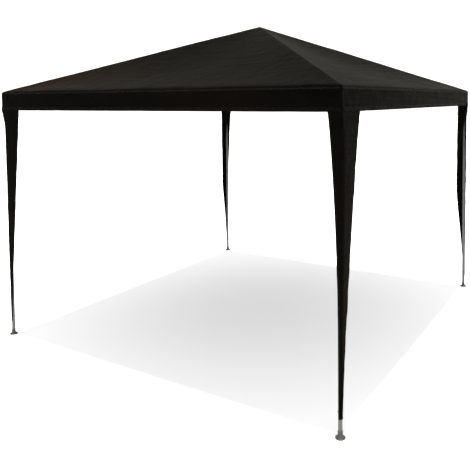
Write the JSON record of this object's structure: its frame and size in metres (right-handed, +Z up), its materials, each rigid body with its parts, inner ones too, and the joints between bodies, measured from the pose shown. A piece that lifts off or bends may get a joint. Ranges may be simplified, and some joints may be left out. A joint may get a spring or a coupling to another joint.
{
  "type": "push-fit party tent gazebo",
  "caption": "Square garden gazebo: plug-together steel tube frame under a dark pyramid fabric roof with a shallow valance and tapered leg covers.",
  "frame": {"origin": "on the ground, at the centre of the square that the feet stand on", "axes": "+Z up, -Y towards the front side, +X to its right; the sides are parallel to X and Y"},
  "size_m": [3, 3, 2.55],
  "materials": {
    "cover_fabric": "woven polyester, near-black, slight sheen",
    "patch_fabric": "heavier woven patch",
    "frame_steel": "grey powder coat, satin",
    "connector_steel": "grey powder coat over pressed steel",
    "grey_plastic": "moulded, fine texture",
    "black_plastic": "moulded",
    "bright_steel": "zinc plated",
    "elastic_cord": "braided sleeve over rubber"
  },
  "bodies": {
    "frame": {"apex_connector": "connector_steel", "corner_connector_front_right": "connector_steel", "corner_connector_back_right": "connector_steel", "corner_connector_back_left": "connector_steel", "corner_connector_front_left": "connector_steel", "apex_plug": "black_plastic", "hip_tube_lower_front_right": "frame_steel", "hip_tube_lower_back_right": "frame_steel", "hip_tube_lower_back_left": "frame_steel", "hip_tube_lower_front_left": "frame_steel", "hip_tube_upper_front_right": "frame_steel", "hip_tube_upper_back_right": "frame_steel", "hip_tube_upper_back_left": "frame_steel", "hip_tube_upper_front_left": "frame_steel", "eave_tube_front_left": "frame_steel", "eave_tube_front_right": "frame_steel", "eave_tube_right_front": "frame_steel", "eave_tube_right_back": "frame_steel", "eave_tube_back_right": "frame_steel", "eave_tube_back_left": "frame_steel", "eave_tube_left_back": "frame_steel", "eave_tube_left_front": "frame_steel", "leg_upper_front_right": "frame_steel", "leg_upper_back_right": "frame_steel", "leg_upper_back_left": "frame_steel", "leg_upper_front_left": "frame_steel", "snap_spring_front_right": "bright_steel", "snap_spring_back_right": "bright_steel", "snap_spring_back_left": "bright_steel", "snap_spring_front_left": "bright_steel", "roof_panel_front": "cover_fabric", "roof_panel_right": "cover_fabric", "roof_panel_back": "cover_fabric", "roof_panel_left": "cover_fabric", "valance_front": "cover_fabric", "valance_right": "cover_fabric", "valance_back": "cover_fabric", "valance_left": "cover_fabric", "leg_cover_front_right": "cover_fabric", "leg_cover_back_right": "cover_fabric", "leg_cover_back_left": "cover_fabric", "leg_cover_front_left": "cover_fabric", "apex_patch": "patch_fabric", "corner_patches": "patch_fabric", "roof_elastic_loops": "elastic_cord", "leg_cover_loops": "elastic_cord"},
    "leg_front_right": {"leg_lower_front_right": "frame_steel"},
    "foot_front_right": {"foot_front_right": "grey_plastic"},
    "button_front_right": {"snap_button_front_right": "bright_steel"},
    "leg_back_right": {"leg_lower_back_right": "frame_steel"},
    "foot_back_right": {"foot_back_right": "grey_plastic"},
    "button_back_right": {"snap_button_back_right": "bright_steel"},
    "leg_back_left": {"leg_lower_back_left": "frame_steel"},
    "foot_back_left": {"foot_back_left": "grey_plastic"},
    "button_back_left": {"snap_button_back_left": "bright_steel"},
    "leg_front_left": {"leg_lower_front_left": "frame_steel"},
    "foot_front_left": {"foot_front_left": "grey_plastic"},
    "button_front_left": {"snap_button_front_left": "bright_steel"}
  },
  "joints": [
    {"name": "leg_pull_front_right", "type": "slide", "parent": "frame", "child": "leg_front_right", "axis": [0, 0, -1], "range_m": [0, 0.1]},
    {"name": "foot_swivel_front_right", "type": "hinge", "parent": "leg_front_right", "child": "foot_front_right", "pos_m": [1.468, -1.468, 0.02], "axis": [0, 0, 1], "continuous": true},
    {"name": "button_press_front_right", "type": "slide", "parent": "frame", "child": "button_front_right", "axis": [0, -1, 0], "range_m": [0, 0.0042], "stiffness_N_per_m": 3000, "springref_m": -0.0005, "deforming": ["snap_spring_front_right"]},
    {"name": "leg_pull_back_right", "type": "slide", "parent": "frame", "child": "leg_back_right", "axis": [0, 0, -1], "range_m": [0, 0.1]},
    {"name": "foot_swivel_back_right", "type": "hinge", "parent": "leg_back_right", "child": "foot_back_right", "pos_m": [1.468, 1.468, 0.02], "axis": [0, 0, 1], "continuous": true},
    {"name": "button_press_back_right", "type": "slide", "parent": "frame", "child": "button_back_right", "axis": [1, 0, 0], "range_m": [0, 0.0042], "stiffness_N_per_m": 3000, "springref_m": -0.0005, "deforming": ["snap_spring_back_right"]},
    {"name": "leg_pull_back_left", "type": "slide", "parent": "frame", "child": "leg_back_left", "axis": [0, 0, -1], "range_m": [0, 0.1]},
    {"name": "foot_swivel_back_left", "type": "hinge", "parent": "leg_back_left", "child": "foot_back_left", "pos_m": [-1.468, 1.468, 0.02], "axis": [0, 0, 1], "continuous": true},
    {"name": "button_press_back_left", "type": "slide", "parent": "frame", "child": "button_back_left", "axis": [0, 1, 0], "range_m": [0, 0.0042], "stiffness_N_per_m": 3000, "springref_m": -0.0005, "deforming": ["snap_spring_back_left"]},
    {"name": "leg_pull_front_left", "type": "slide", "parent": "frame", "child": "leg_front_left", "axis": [0, 0, -1], "range_m": [0, 0.1]},
    {"name": "foot_swivel_front_left", "type": "hinge", "parent": "leg_front_left", "child": "foot_front_left", "pos_m": [-1.468, -1.468, 0.02], "axis": [0, 0, 1], "continuous": true},
    {"name": "button_press_front_left", "type": "slide", "parent": "frame", "child": "button_front_left", "axis": [-1, 0, 0], "range_m": [0, 0.0042], "stiffness_N_per_m": 3000, "springref_m": -0.0005, "deforming": ["snap_spring_front_left"]}
  ]
}
